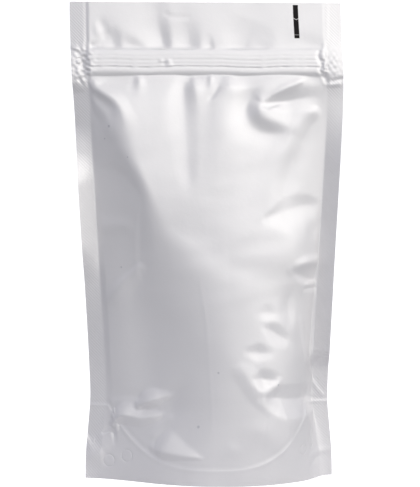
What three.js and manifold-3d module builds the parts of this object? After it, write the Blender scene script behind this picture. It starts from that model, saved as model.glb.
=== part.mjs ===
// A filled, zip-topped stand-up pouch of white foil film, shut and standing on its base.
//
// Millimetres. +Z is up, the front faces -Y, and the origin is on the floor under the middle of the pouch.
//
// The pouch is welded from a front film, a back film and a folded base panel. Every level of the front and
// back film is bent in plan without being stretched: the film's heading, its angle to the X axis, is added up
// along the flat width. The folds pressed into the film are strokes, added to the film's depth.

import * as THREE from "three";
import Module from "manifold-3d";

// Driving dimensions: the film and its welds
const FILM_WIDTH = 130; // flat width from side edge to side edge
const HEIGHT = 230; // standing height
const SIDE_SEAL = 7.6; // width of the weld down each side
const SEAL_THICKNESS = 0.8; // front and back film welded together
const HEADER_THICKNESS = 1.6; // the two films above the zip, lying on each other
const SKIRT_WALL = 0.8; // film and base panel welded together, below the base's curved weld

// The zip, which shows as ribs through the film
const ZIP_FOOT = 194.5; // height of the zip strip's lower edge
const ZIP_TOP = 207;
const ZIP_THICKNESS = 4;
const RIB_PITCH = 1.7;
const RIB_COUNT = 4;
const RIB_DEPTH = 0.4;
const LOWEST_RIB = 199.2;
const ZIP_EDGE = 0.75; // half of the height in which the strip's thickness comes and goes
const SEAL_EASE = 3; // the same at its ends, inside the side seals

// The filled belly
const FULLEST_HEIGHT = 42; // where the belly is deepest
const SHOULDER_HEIGHT = 195.5; // where the belly ends, in the foot of the zip
const FULL_ANGLE = 0.915; // radians; the film's heading at the side seals, at the fullest height
const SHOULDER_POWER = 1.2;

// The base
const FLOOR_ANGLE = 0.61; // radians; the steepest heading of the bottom edge
const FLOOR_FULLNESS = 1.25;
const SKIRT_HEIGHT = 8; // from the floor to the base's curved weld, in the middle
const GUSSET_FOLD = 37; // height of the base panel's fold at the side seals
const WELD_REACH = 56; // flat distance from the centre line at which the curved weld meets that height
const WELD_POWER = 2.1;
const BASE_SAG = 2.5; // how far the filling would push the base panel past the floor, which flattens it
const TENT_START = 18; // flat distances between which the base panel's fold rises from the floor
const TENT_END = 52;
const CAVITY_LEAST = 0.4; // half width at which the hollow under the base ends, near the corners
const BELOW_FLOOR = 1; // how far the cutter for that hollow reaches under the floor

// Small departures from symmetry
const HEADER_LEAN = 1.7; // the header stands this far to the left of the base
const LEAN_START = 174; // height from which it leans
const TOP_SKEW = 0.7; // the top edge drops by this much from left to right
const CORNER_LIFT = 1.6; // the right corner of the base curls up from the floor
const CURL_START = 48; // flat distance from the centre line at which the curl starts

// Folds pressed into the film, as strokes on the flat film. from and to are [across from the centre line,
// height], bow bends the stroke to its left, width is its reach to each side, and depth is positive outwards.
const FOLD_ROOM = 7; // depth of the belly from which a stroke has its full depth
const FRONT_FOLDS = [
  { name: "left shoulder ridge", from: [-55, 190], to: [-29, 139], bow: 5, width: 8, depth: 2.6 },
  { name: "left shoulder facet", from: [-50, 172], to: [-44, 120], bow: 2, width: 7, depth: -2.2 },
  { name: "middle valley", from: [-9.5, 192], to: [-7, 147], bow: 0, width: 4.5, depth: -1.8 },
  { name: "pinch valley", from: [54, 191], to: [28, 182], bow: 0, width: 4, depth: -2.4 },
  { name: "pinch tongue", from: [54, 181], to: [33, 179], bow: 0, width: 4, depth: 2.2 },
  { name: "pinch hollow, side", from: [26, 190], to: [24.5, 172], bow: 2.5, width: 4, depth: -2.6 },
  { name: "pinch hollow, foot", from: [24.5, 172], to: [42, 169], bow: 1.5, width: 4, depth: -2.2 },
  { name: "upper crescent", from: [30, 129], to: [57, 134], bow: -4, width: 4.5, depth: -2 },
  { name: "seal dent, upper", from: [57, 122], to: [47, 112], bow: 0, width: 4.5, depth: -1.8 },
  { name: "seal dent, lower", from: [57, 105], to: [42, 101], bow: 0, width: 4.5, depth: -1.8 },
  { name: "belly crescent, upper", from: [30, 74], to: [42, 69], bow: 0, width: 4.5, depth: -1.6 },
  { name: "belly crescent, middle", from: [19, 65], to: [30, 65], bow: 0, width: 4.5, depth: -1.6 },
  { name: "belly crescent, lower", from: [22, 52], to: [35, 51], bow: 0, width: 4.5, depth: -1.8 },
  { name: "right corner crease", from: [27, 41], to: [57, 39], bow: 0, width: 4.5, depth: -2 },
  { name: "left corner bulge, upper", from: [-32, 41], to: [-18, 43], bow: 0, width: 4.5, depth: 1.5 },
  { name: "left corner bulge, lower", from: [-50, 32], to: [-23, 36], bow: 0, width: 4.5, depth: 1.7 },
  { name: "weld bulge", from: [-25, 18], to: [-3, 14], bow: 2, width: 5, depth: 1.6 },
];
const BACK_FOLDS = [
  { name: "left shoulder ridge", from: [54, 190], to: [26, 136], bow: -5, width: 8, depth: 2.4 },
  { name: "right shoulder ridge", from: [-54, 190], to: [-30, 146], bow: 4, width: 8, depth: 2 },
  { name: "middle valley", from: [8, 192], to: [11, 150], bow: 2, width: 5, depth: -2 },
  { name: "side crescent", from: [-57, 128], to: [-34, 122], bow: 4, width: 4.5, depth: -2 },
  { name: "side dent", from: [57, 112], to: [42, 106], bow: 2, width: 4.5, depth: -1.8 },
  { name: "belly crescent", from: [-42, 78], to: [-24, 74], bow: 3, width: 4.5, depth: -1.7 },
  { name: "right corner crease", from: [-28, 42], to: [-57, 39], bow: 0, width: 4.5, depth: -2 },
  { name: "left corner bulge", from: [50, 33], to: [24, 37], bow: 0, width: 4.5, depth: 1.6 },
];

// How finely the film is divided, as [from, to, steps]
const COLUMN_BANDS = [
  [-FILM_WIDTH / 2, SIDE_SEAL - FILM_WIDTH / 2, 2],
  [SIDE_SEAL - FILM_WIDTH / 2, FILM_WIDTH / 2 - SIDE_SEAL, 34],
  [FILM_WIDTH / 2 - SIDE_SEAL, FILM_WIDTH / 2, 2],
];
const HIGHEST_RIB = LOWEST_RIB + (RIB_COUNT - 1) * RIB_PITCH;
const UNDER_ZIP = ZIP_FOOT - 8; // the belly curves in quickly above this height
const ROW_BANDS = [
  [0, FULLEST_HEIGHT, 11],
  [FULLEST_HEIGHT, UNDER_ZIP, 29],
  [UNDER_ZIP, ZIP_FOOT - ZIP_EDGE, 4],
  [ZIP_FOOT - ZIP_EDGE, ZIP_FOOT + ZIP_EDGE, 2],
  [ZIP_FOOT + ZIP_EDGE, LOWEST_RIB - RIB_PITCH / 2, 2],
  [LOWEST_RIB - RIB_PITCH / 2, HIGHEST_RIB + RIB_PITCH / 2, 2 * RIB_COUNT],
  [HIGHEST_RIB + RIB_PITCH / 2, ZIP_TOP + ZIP_EDGE, 3],
  [ZIP_TOP + ZIP_EDGE, HEIGHT, 4],
];
const GUSSET_STEPS = 10;
const WALL_STEPS = 2;

const INNER_HALF = FILM_WIDTH / 2 - SIDE_SEAL;
const columns = divide(COLUMN_BANDS);
const rows = divide(ROW_BANDS);

function divide(bands) {
  const places = [bands[0][0]];
  for (const [from, to, steps] of bands)
    for (let k = 1; k <= steps; k++) places.push(from + ((to - from) * k) / steps);
  return places;
}

// 0 below low, 1 above high, and a smooth step between them.
function smooth(low, high, value) {
  return THREE.MathUtils.smoothstep(value, low, high);
}

// The film's heading in plan, in radians, at a flat distance across and a height.
function heading(across, height) {
  const climb = THREE.MathUtils.clamp((height - FULLEST_HEIGHT) / (SHOULDER_HEIGHT - FULLEST_HEIGHT), 0, 1);
  const leaving = FULL_ANGLE * Math.sqrt(1 - climb ** SHOULDER_POWER);
  const belly = Math.abs(across) < INNER_HALF ? (leaving * across) / INNER_HALF : 0;
  const share = Math.abs(across) / (FILM_WIDTH / 2);
  const floor = Math.sign(across) * FLOOR_ANGLE * Math.sin(Math.PI * share ** FLOOR_FULLNESS);
  return THREE.MathUtils.lerp(floor, belly, smooth(0, FULLEST_HEIGHT, height));
}

// One level of the bare film: its x, and its depth from the pouch's middle plane, at each column.
function level(height) {
  const x = [0];
  const depth = [0];
  for (let i = 1; i < columns.length; i++) {
    const step = columns[i] - columns[i - 1];
    const angle = heading((columns[i] + columns[i - 1]) / 2, height);
    x.push(x[i - 1] + step * Math.cos(angle));
    depth.push(depth[i - 1] - step * Math.sin(angle));
  }
  const middle = x.at(-1) / 2;
  return { x: x.map((value) => value - middle), depth };
}

// How far the header and the ribbed zip stand out past the face of the side seals.
function headerDepth(across, height) {
  const inside = 1 - smooth(INNER_HALF - SEAL_EASE, INNER_HALF, Math.abs(across));
  const above = smooth(ZIP_FOOT - ZIP_EDGE, ZIP_FOOT + ZIP_EDGE, height);
  const below = 1 - smooth(ZIP_TOP - ZIP_EDGE, ZIP_TOP + ZIP_EDGE, height);
  const rib = (height - LOWEST_RIB) / RIB_PITCH;
  const ribbed = rib > -0.5 && rib < RIB_COUNT - 0.5 ? Math.cos(Math.PI * rib) ** 2 * RIB_DEPTH : 0;
  const strip = below * ((ZIP_THICKNESS - HEADER_THICKNESS) / 2 - ribbed);
  return inside * above * ((HEADER_THICKNESS - SEAL_THICKNESS) / 2 + strip);
}

// How far the strokes push the film out at a place on it.
function pushedOut(folds, across, height) {
  let sum = 0;
  for (const { from, to, bow, width, depth } of folds) {
    const along = [to[0] - from[0], to[1] - from[1]];
    const length = Math.hypot(...along);
    const offset = [across - from[0], height - from[1]];
    const t = (offset[0] * along[0] + offset[1] * along[1]) / length ** 2;
    const aside = (along[0] * offset[1] - along[1] * offset[0]) / length;
    const past = Math.max(0, -t, t - 1) * length;
    const inBow = THREE.MathUtils.clamp(t, 0, 1);
    const away = aside - 4 * bow * inBow * (1 - inBow);
    sum += depth * Math.exp(-((away ** 2 + past ** 2) / width ** 2));
  }
  return sum;
}

// The point of the film's outer face at a column and a height. side is -1 for the front and 1 for the back.
// The strokes fade out where the films come together, at the seals and the zip.
function filmPoint(side, column, height, bare = level(Math.max(0, height))) {
  const across = columns[column];
  const folds = side < 0 ? FRONT_FOLDS : BACK_FOLDS;
  const room = smooth(0, FOLD_ROOM, bare.depth[column]);
  const belly = bare.depth[column] + room * pushedOut(folds, across, height);
  const depth = SEAL_THICKNESS / 2 + Math.max(belly, headerDepth(across, height));
  const lean = HEADER_LEAN * (0.5 - smooth(LEAN_START, HEIGHT, height));
  const skew = (TOP_SKEW / 2) * (1 + across / (FILM_WIDTH / 2)) * smooth(ZIP_FOOT, HEIGHT, height);
  const curl = smooth(CURL_START, FILM_WIDTH / 2, across) * (1 - smooth(0, GUSSET_FOLD, height));
  return new THREE.Vector3(bare.x[column] + lean, side * depth, height - skew + CORNER_LIFT * curl);
}

// A closed skin over a stack of sections, which are rings with the same number of points. Each ring turns to
// the left as seen by someone who looks back along the stack, from its last section to its first.
function stackedSkin(sections) {
  const count = sections[0].length;
  const triangles = [];
  for (let k = 0; k + 1 < sections.length; k++)
    for (let n = 0; n < count; n++) {
      const next = (n + 1) % count;
      const [a, b] = [k * count + n, k * count + next];
      triangles.push(a, b, b + count, a, b + count, a + count);
    }
  const lastRing = (sections.length - 1) * count;
  triangles.push(...endCap(0, count, false), ...endCap(lastRing, count, true));
  return new THREE.BufferGeometry().setFromPoints(sections.flat()).setIndex(triangles);
}

// Triangles that close an end ring by pairing its two halves, so that they also fill a long thin ring.
function endCap(first, count, last) {
  const triangles = [];
  for (let low = 0, high = count - 1; low + 1 < high; low++, high--) {
    triangles.push(low, high, low + 1);
    if (low + 1 < high - 1) triangles.push(low + 1, high, high - 1);
  }
  const ordered = last ? triangles.reverse() : triangles;
  return ordered.map((n) => first + n);
}

// The pouch without the hollow under it: a level's ring runs along the front film and back along the other.
function outerSections() {
  return rows.map((height) => {
    const bare = level(height);
    const front = columns.map((_, i) => filmPoint(-1, i, height, bare));
    const back = columns.map((_, i) => filmPoint(1, i, height, bare));
    return [...front, ...back.reverse()];
  });
}

// Height of the curved weld that joins the base panel to the film.
function weldHeight(across) {
  const rise = (Math.abs(across) / WELD_REACH) ** WELD_POWER;
  return SKIRT_HEIGHT + (GUSSET_FOLD - SKIRT_HEIGHT) * Math.min(1, rise);
}

// Height of the base panel's middle line, where the panel was folded in two.
function foldHeight(across) {
  return (GUSSET_FOLD + BASE_SAG) * smooth(TENT_START, TENT_END, Math.abs(across)) - BASE_SAG;
}

// The hollow between the skirt and the base panel, as a stack of rings across the pouch's width. A ring goes
// up the inner face of the back skirt, over the base panel and down the inner face of the front skirt.
function hollowSections() {
  const floor = level(0);
  const hollow = columns.map((_, i) => i).filter((i) => floor.depth[i] - SKIRT_WALL > CAVITY_LEAST);
  return hollow.map((i) => {
    const weld = weldHeight(columns[i]);
    const inner = (side, height) => {
      const point = filmPoint(side, i, height);
      point.y -= side * SKIRT_WALL * (1 + Math.abs(heading(columns[i], 0)) / 2);
      return point;
    };
    const wallHeight = (k) => THREE.MathUtils.lerp(-BELOW_FLOOR, weld, k / WALL_STEPS);
    const [front, back] = [inner(-1, weld), inner(1, weld)];
    const ring = [];
    for (let k = 0; k <= WALL_STEPS; k++) ring.push(inner(1, wallHeight(k)));
    for (let k = 1; k < GUSSET_STEPS; k++) {
      const share = k / GUSSET_STEPS;
      const point = new THREE.Vector3().lerpVectors(back, front, share);
      point.z = THREE.MathUtils.lerp(weld, foldHeight(columns[i]), 4 * share * (1 - share));
      ring.push(point);
    }
    for (let k = WALL_STEPS; k >= 0; k--) ring.push(inner(-1, wallHeight(k)));
    return ring;
  });
}

const wasm = await Module();
wasm.setup();

function solidOf(geometry) {
  return new wasm.Manifold(
    new wasm.Mesh({
      numProp: 3,
      vertProperties: geometry.getAttribute("position").array,
      triVerts: new Uint32Array(geometry.index.array),
    }),
  );
}

function geometryOf(solid) {
  const mesh = solid.getMesh();
  const geometry = new THREE.BufferGeometry();
  geometry.setAttribute("position", new THREE.BufferAttribute(mesh.vertProperties, mesh.numProp));
  geometry.setIndex(new THREE.BufferAttribute(mesh.triVerts, 1));
  geometry.computeVertexNormals();
  return geometry;
}

const film = new THREE.MeshStandardMaterial({ color: 0xe6e6e9, roughness: 0.42, metalness: 0.1 });
const shape = solidOf(stackedSkin(outerSections())).subtract(solidOf(stackedSkin(hollowSections())));
const pouch = new THREE.Mesh(geometryOf(shape), film);
pouch.name = "pouch";

const object = new THREE.Group();
object.add(pouch);

export default object;
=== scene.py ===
"""A filled stand-up pouch of white foil film, and a small studio to show it in.

The pouch is one closed film, worked out on a grid of flat film coordinates: across, from the centre line to
the right, and height. Both are in millimetres, and so is everything else here until the mesh is made.
"""
import math
from types import SimpleNamespace
from typing import NamedTuple

import bpy
import numpy as np
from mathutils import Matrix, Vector


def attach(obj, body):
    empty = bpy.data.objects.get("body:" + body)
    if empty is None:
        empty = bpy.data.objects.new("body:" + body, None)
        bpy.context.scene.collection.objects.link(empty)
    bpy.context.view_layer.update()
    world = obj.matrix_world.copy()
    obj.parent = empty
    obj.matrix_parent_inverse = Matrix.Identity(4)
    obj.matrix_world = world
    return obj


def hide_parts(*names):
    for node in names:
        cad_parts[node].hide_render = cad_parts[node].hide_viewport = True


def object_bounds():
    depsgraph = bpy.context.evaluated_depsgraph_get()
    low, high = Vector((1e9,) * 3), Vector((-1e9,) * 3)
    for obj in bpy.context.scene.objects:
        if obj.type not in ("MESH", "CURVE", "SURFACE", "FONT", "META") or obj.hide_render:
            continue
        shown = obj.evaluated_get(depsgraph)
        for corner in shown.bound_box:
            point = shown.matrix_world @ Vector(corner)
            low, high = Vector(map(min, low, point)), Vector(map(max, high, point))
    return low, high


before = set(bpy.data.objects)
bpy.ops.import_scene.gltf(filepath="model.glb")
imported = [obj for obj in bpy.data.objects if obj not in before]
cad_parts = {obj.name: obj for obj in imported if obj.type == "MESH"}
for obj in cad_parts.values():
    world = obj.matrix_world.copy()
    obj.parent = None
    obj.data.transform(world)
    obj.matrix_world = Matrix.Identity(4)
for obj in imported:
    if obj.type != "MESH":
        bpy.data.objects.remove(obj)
CAD_LOW, CAD_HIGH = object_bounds()

bl_info = {
    "name": "Stand-up pouch",
    "version": (1, 0, 0),
    "blender": (4, 5, 0),
    "location": "View3D > Sidebar > Pouch",
    "description": "A filled foil stand-up pouch, and a small studio to show it in",
    "category": "Add Mesh",
}

MM = 0.001  # one millimetre in Blender's metres
FRONT, BACK = -1, 1  # the two films, by their sign along Y
INSIDE = 0  # marks the points of the inner faces
# Rows of the inner faces: in the mouth from the top edge down, in the skirt from the floor to the weld
MOUTH_SHARES = (0.0, 0.04, 0.12, 0.25, 0.4, 0.6, 0.8, 1.0)
SKIRT_SHARES = (0.0, 0.15, 0.3, 0.45, 0.6, 0.8, 1.0)
PANEL_STEPS = 22  # of the base panel, from one film's weld to the other's


class Fold:
    """A fold of the film, drawn as a stroke on the flat film as it is seen from outside at the front.

    Each point of the path is (across, height, depth, width): how far the film stands out there, and how far
    its flanks reach. lean widens the flank to the left of the path's direction and narrows the other one.
    soft is 0 for a sharp crease and 1 for a gentle roll.
    """

    def __init__(self, *path, lean=0.0, soft=0.2):
        self.path = path
        self.lean = lean
        self.soft = soft


class Crest(NamedTuple):
    """Where the film turns from one facet to the next, at one height, and its share of the turn there."""

    height: float
    across: float
    half_width: float
    share: float


FRONT_CREST = (
    Crest(42, 28, 48, 1.0),
    Crest(60, 28, 48, 1.0),
    Crest(76, 22, 46, 0.95),
    Crest(94, -1, 36, 0.48),
    Crest(108, -16, 20, 0.33),
    Crest(122, -25, 9, 0.34),
    Crest(141, -28.8, 3.2, 0.48),
    Crest(148, -31.6, 3.2, 0.54),
    Crest(157, -36.6, 5, 0.60),
    Crest(168, -40.5, 8.5, 0.68),
    Crest(177, -40.5, 3.5, 0.70),
    Crest(183, -43.5, 2, 0.70),
    Crest(187, -49, 2, 0.70),
    Crest(191, -55, 2, 0.70),
)
BACK_CREST = (
    Crest(42, -4, 28, 0.75),
    Crest(80, 2, 26, 0.72),
    Crest(110, 14, 16, 0.62),
    Crest(135, 26, 9, 0.62),
    Crest(160, 35, 5, 0.68),
    Crest(178, 41, 3, 0.70),
    Crest(190, 53, 2.5, 0.70),
)
EVEN_FULLNESS = 0.857  # how full an even bend's section is, as a share of its greatest depth
BROAD_TURN = (-4, 74)  # the rest of the turn is spread between these places on the front film

# Folds that hang from the zip, on the left and in the middle
SHOULDER_FOLDS = (
    Fold(
        (-58, 191, 0.5, 2), (-50, 187.3, 0.8, 3.5), (-43, 183.3, 0.8, 4.5), (-39.5, 177, 0.6, 5),
        (-37, 170, 0.2, 6),
        soft=0.1,
    ),
    Fold(
        (-57.5, 191, 0.5, 1.6), (-55.5, 191.7, 0.8, 2), (-51.5, 192.8, 0.6, 2.4), (-47.5, 194, 0.2, 2),
        soft=0.1,
    ),
    Fold((-55.5, 184, 0.5, 3), (-48, 176.5, 0.7, 4), (-43, 169, 0.3, 5), soft=0.3),
    Fold((-35, 194, -0.4, 1.8), (-34.4, 190, -0.2, 2.4), soft=0.3),
    Fold((-32.8, 194.4, 0.8, 2), (-32.4, 191.5, 0.7, 2.6), (-32, 188.5, 0.2, 2.8), soft=0.3),
    Fold(
        (-10.8, 194.2, -0.7, 2.5), (-11, 190, -1.2, 4), (-10.8, 184, -1.3, 5.2), (-10.2, 176, -1.0, 5.4),
        (-9.2, 167, -0.7, 5), (-8.6, 158, -0.55, 4.4), (-8.2, 149, -0.4, 3.8), (-8, 142, -0.1, 3.5),
        lean=-0.1, soft=0.35,
    ),
    Fold((-6.2, 194.5, 0.8, 2), (-5.6, 190, 0.7, 3), (-4.5, 182, 0.2, 4), soft=0.35),
    Fold((1.8, 194.8, 0.5, 1.3), (1.8, 191, 0.2, 1.6), soft=0.3),
    Fold((-0.2, 194, -0.3, 1.3), (0, 190.5, -0.15, 1.5), soft=0.3),
    Fold(
        (6.2, 190.5, -0.1, 1.3), (4.9, 188.5, -0.4, 1.6), (2.5, 184.9, -0.35, 1.6), (1.2, 183, -0.05, 1.3),
        soft=0.1,
    ),
    Fold(
        (10, 195, 0.6, 2.5), (11.4, 190, 1.0, 4.5), (12.2, 183, 1.3, 7), (10.7, 171.8, 1.3, 8.5),
        (8.1, 159.8, 0.9, 9), (5.5, 148, 0.4, 9), (4, 138, 0.1, 8),
        soft=0.4,
    ),
)
# The pinched dent under the zip on the right, and the ridges that leave it
PINCH_FOLDS = (
    Fold(
        (31, 191, -0.1, 3), (26, 190, -0.5, 4), (21.5, 187.5, -1.4, 5.5), (19.2, 183, -2.0, 6.5),
        (19.2, 178.5, -2.0, 6.5), (20.9, 174.5, -1.5, 6.5), (24.5, 171, -1.3, 6), (29.5, 168.8, -1.1, 5.5),
        (35, 168, -0.7, 5), (40, 167.8, -0.2, 4),
        lean=-0.25, soft=0.4,
    ),
    Fold(
        (26.4, 182.4, 0.4, 3.6), (25.3, 179.8, 1.6, 7.2), (25.8, 177.4, 1.9, 8.4), (28, 175, 1.8, 7.8),
        (31.6, 173.2, 1.6, 7.2), (35.4, 171.7, 1.1, 6), (39.5, 170.3, 0.3, 4.2),
        lean=0.3, soft=0.2,
    ),
    Fold(
        (29.2, 182, -0.4, 1.6), (33.8, 182.4, -1.3, 3.4), (38.8, 182.8, -2.0, 4.8),
        (45.2, 184.1, -2.1, 5.6), (51.8, 184.7, -2.4, 7), (56.5, 184, -2.4, 7.5),
        lean=0.15, soft=0.15,
    ),
    Fold(
        (31, 185, 0.2, 1.8), (34, 186.8, 0.6, 2.4), (38, 188.9, 0.9, 2.8), (43, 191, 0.9, 2.8),
        (46.5, 193.5, 0.5, 2.2),
        soft=0.15,
    ),
    Fold(
        (57.2, 181.6, 0.8, 3.5), (52.5, 179.2, 1.2, 5), (47.5, 174.8, 1.3, 5.5), (43.5, 169.5, 1.3, 6),
        (39.2, 161.5, 1.2, 6.5), (35.2, 153, 1.0, 6.5), (31.8, 145, 0.8, 6.5), (29.3, 137, 0.5, 6),
        (28.3, 130, 0.2, 5),
        soft=0.3,
    ),
    Fold(
        (57, 178.4, -0.2, 3), (51.5, 172.4, -0.4, 5), (48.3, 165.8, -0.4, 6), (45, 157.3, -0.3, 6),
        (42, 148, -0.1, 5),
        soft=0.3,
    ),
)
# Dents and creases on the right, towards the side weld
SIDE_FOLDS = (
    Fold((45, 163, -0.1, 4), (41.2, 154.6, -0.5, 5), (37.8, 142, -0.5, 5), (36.5, 134, -0.2, 4), soft=0.3),
    Fold(
        (29, 128, -0.4, 3), (34.2, 129.6, -0.85, 6), (38.2, 130.7, -0.9, 8.2), (42, 131.6, -1.0, 9.2),
        (45.9, 132.6, -1.0, 8.6), (51.5, 133.1, -0.8, 6.8), (56.6, 133.4, -0.5, 3.6),
        lean=-0.35, soft=0.12,
    ),
    Fold(
        (57.5, 124, -0.3, 3), (53, 120.2, -0.4, 5), (49.9, 116.5, -0.3, 6), (47.4, 111, -0.2, 5),
        lean=-0.2, soft=0.3,
    ),
    Fold((41, 103, 0.4, 2.5), (48, 105.4, 0.8, 3), (57.5, 106.6, 0.8, 3)),
    Fold(
        (41.5, 102.3, -0.4, 2.5), (46, 99.9, -0.9, 4.5), (50.9, 97.9, -1.15, 5), (57.5, 97, -1.2, 5),
        lean=0.4, soft=0.1,
    ),
    Fold((50.5, 95.2, 0.4, 1.8), (57.5, 95.3, 0.5, 2), soft=0.1),
    Fold((50, 93.4, -0.4, 1.6), (57.6, 93.5, -0.6, 2), soft=0.1),
    Fold(
        (40.5, 92, -0.1, 3), (39.6, 85, -0.6, 4.5), (40, 80, -0.5, 4.5), (41.5, 74, -0.1, 4),
        lean=-0.2, soft=0.15,
    ),
    Fold((47.5, 78.3, 0.2, 2), (49.8, 68.3, 0.5, 2.2), (52.4, 58.5, 0.7, 2.2), soft=0.08),
)
# Swellings and crescent dents low on the right
CRESCENT_FOLDS = (
    Fold(
        (10, 101, 0.2, 14), (24, 101, 0.9, 17), (36, 103, 1.6, 18), (48, 107, 1.9, 18), (58, 109, 0.7, 14),
        soft=0.5,
    ),
    Fold((23.6, 82.6, -0.1, 2.5), (28.3, 83, -0.45, 4), (34.6, 82, -0.1, 3), soft=0.12),
    Fold(
        (26.5, 76, -0.3, 2.5), (29.6, 74.6, -0.9, 4), (33.2, 72.2, -1.1, 4.8), (36.5, 70, -0.9, 4.5),
        (39.6, 68, -0.3, 3),
        soft=0.1,
    ),
    Fold((17.6, 64.8, -0.3, 2.5), (22.4, 64.4, -0.8, 4.2), (27.5, 64, -0.3, 3), soft=0.1),
    Fold((20.3, 51.7, -0.3, 3), (25.1, 51.7, -1.15, 5), (32.4, 50.4, -0.3, 4), lean=-0.15, soft=0.1),
    Fold((33, 50, 0.4, 2.5), (29.5, 46.5, 0.7, 3), (25.5, 43.2, 0.3, 2.5), soft=0.1),
    Fold(
        (23.9, 43, -0.6, 3), (29.3, 42.4, -1.7, 6), (40, 41, -2.0, 7.5), (51.8, 40.5, -2.0, 7.5),
        (58.5, 41.1, -1.6, 5),
        lean=-0.1, soft=0.06,
    ),
    Fold(
        (26, 31.5, 0.7, 8), (32, 31, 1.3, 9.5), (42, 31, 1.9, 10), (51, 31.5, 1.9, 10), (57, 33, 1.0, 8),
        lean=-0.3, soft=0.6,
    ),
    Fold(
        (-12, 4, 0.02, 15), (4, 4, 0.9, 16), (18, 4.5, 4.2, 18), (30, 5.5, 6.0, 19), (42, 7, 5.6, 20),
        (52, 10, 2.8, 18), (60, 12, 0.2, 14),
        soft=0.5,
    ),
    Fold(
        (13.5, 60, 0.1, 5), (14.6, 56.3, 0.5, 5), (18.3, 50.6, 0.9, 5), (22.5, 44.5, 1.1, 5),
        (26, 40.5, 0.9, 4.5), (30.5, 35.5, 0.2, 4),
        soft=0.2,
    ),
)
# Sharp creases just above the base, most of them on the left
BASE_FOLDS = (
    Fold(
        (-27.8, 16.4, 0.9, 3), (-25.6, 16.2, 1.9, 5.6), (-22, 15.8, 2.4, 7.2), (-15.8, 14.9, 1.9, 5.2),
        (-8.8, 14.1, 1.1, 2.9), (-3.2, 13.4, 0.3, 1),
        lean=0.45, soft=0.04,
    ),
    Fold(
        (-50.8, 27.6, 1.5, 2.8), (-48.4, 30.2, 3.0, 4.6), (-45, 31.8, 3.4, 5.6), (-40, 31.2, 2.7, 5.2),
        (-35.9, 30.8, 2.2, 4.3), (-29.5, 31.9, 1.2, 3), (-25.6, 33.4, 0.2, 1.8),
        lean=0.15, soft=0.03,
    ),
    Fold(
        (-37.4, 37, 1.8, 3), (-33.6, 38.9, 2.9, 4.6), (-29.6, 40.3, 2.6, 4.6), (-25.6, 41.6, 1.3, 3.2),
        (-21.4, 42.8, 0.2, 1.8),
        lean=0.25, soft=0.03,
    ),
    Fold((-55.2, 37.1, 0.3, 2), (-45.8, 38.5, 0.45, 2.2), (-37.4, 38.2, 0.3, 2.2), soft=0.3),
    Fold((-56.4, 37.9, -0.3, 1.4), (-52.7, 32.9, -0.2, 1.6), soft=0.3),
    Fold(
        (-16.3, 50, -0.2, 5), (-19.4, 41.6, -0.5, 5), (-22.2, 33.2, -0.6, 5), (-24.3, 24.9, -0.6, 4),
        (-26.2, 16.9, -0.3, 3),
        soft=0.4,
    ),
    Fold((-22.1, 31.3, 0.3, 2.4), (-28.6, 23.3, 0.3, 2.4), soft=0.3),
    Fold((10.5, 18.5, 0.3, 3.5), (3, 9.8, 0.1, 3), soft=0.2),
    Fold((20, 26.5, 0.3, 5), (15.5, 18.5, 0.2, 5), soft=0.3),
    Fold((26.5, 26, 0.4, 5), (36, 16.8, 0.2, 4), soft=0.3),
)
# Faint folds of the left facet and of the middle
LEFT_FOLDS = (
    Fold((-35, 103.7, 0.6, 2.6), (-45.3, 94, 0.9, 4.5), (-52, 85.5, 0.2, 5), lean=0.3),
    Fold(
        (-31, 134, -0.1, 2.5), (-33, 121, -0.3, 4), (-34.2, 105, -0.25, 4), (-33.5, 99, -0.1, 3),
        lean=0.5, soft=0.2,
    ),
    Fold(
        (-52, 150.5, -0.1, 4), (-45, 150, -0.35, 6), (-38.6, 146, -0.35, 6), (-32.5, 139, -0.2, 4),
        lean=-0.5, soft=0.3,
    ),
    Fold((-50, 112, 0.2, 8), (-49, 88, 0.9, 10), (-48, 62, 1.0, 10), (-47, 44, 0.4, 9), soft=0.5),
    Fold((-38, 108, -0.2, 9), (-37, 85, -0.8, 12), (-35, 60, -0.9, 12), (-33, 46, -0.2, 10), soft=0.5),
    Fold((-55, 123.3, 0.5, 4), (-41, 123.6, 0.35, 4), soft=0.3),
    Fold(
        (-4.1, 98, 0.04, 1.2), (-3, 89.5, 0.07, 1.2), (-1.7, 75.3, 0.08, 1.2), (-1.5, 56.2, 0.08, 1.2),
        (-0.6, 40.7, 0.07, 1.2), (0.7, 27.4, 0.05, 1.2),
        soft=0.3,
    ),
)
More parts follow.
